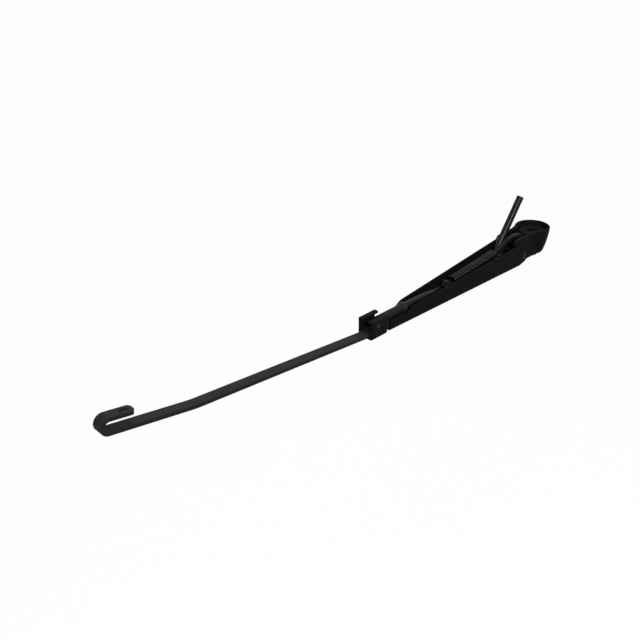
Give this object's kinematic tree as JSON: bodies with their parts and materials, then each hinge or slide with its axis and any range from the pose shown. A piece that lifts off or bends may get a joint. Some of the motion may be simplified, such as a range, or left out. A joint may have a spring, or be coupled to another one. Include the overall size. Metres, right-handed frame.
{
  "type": "windscreen wiper arm",
  "caption": "Windscreen wiper arm: die-cast head on a spindle bore, sprung folding channel, flat bar with a blade hook, and a washer jet clip fed by a hose.",
  "frame": {"origin": "centre of the spindle bore at its glass side mouth", "axes": "+X from the spindle along the arm to the blade hook, +Z along the spindle towards the glass, +Y to the side that the washer jet points to"},
  "size_m": [0.5251, 0.0352, 0.0662],
  "materials": {
    "head_paint": "die cast, black powder coat, satin",
    "sheet_paint": "black powder coat, satin",
    "bar_paint": "black paint, satin",
    "link_steel": "black paint, satin",
    "spring_steel": "black phosphate and oil",
    "rivet_steel": "black paint over steel",
    "bush_plastic": "black bearing plastic, smooth",
    "clip_plastic": "moulded, fine grain",
    "nozzle_plastic": "moulded, smooth",
    "tube_plastic": "moulded, satin",
    "ferrule_plastic": "smooth",
    "hose_rubber": "smooth black rubber, slight sheen"
  },
  "bodies": {
    "head": {"mounting_head": "head_paint", "hinge_bushes": "bush_plastic"},
    "arm": {"arm_channel": "sheet_paint", "wiper_rod": "bar_paint", "rod_rivets": "rivet_steel", "hinge_rivet": "rivet_steel", "jet_clip": "clip_plastic", "jet_nozzle": "nozzle_plastic", "hose_connector": "tube_plastic", "hose_ferrule": "ferrule_plastic", "washer_hose": "hose_rubber"},
    "link": {"spring_link": "link_steel", "tension_spring": "spring_steel"}
  },
  "joints": [
    {"name": "arm_fold", "type": "hinge", "parent": "head", "child": "arm", "pos_m": [0.0367, 0, -0.0124], "axis": [0, 1, 0], "range_deg": [0, 45], "stiffness_Nm_per_rad": 1, "springref_deg": -91.67, "deforming": ["tension_spring"]},
    {"name": "link_turn", "type": "hinge", "parent": "head", "child": "link", "pos_m": [0.0245, 0, -0.0026], "axis": [0, 1, 0], "range_deg": [0, 41]}
  ],
  "couplings": [
    {"joint": "link_turn", "follows": "arm_fold", "ratio": 0.882}
  ]
}
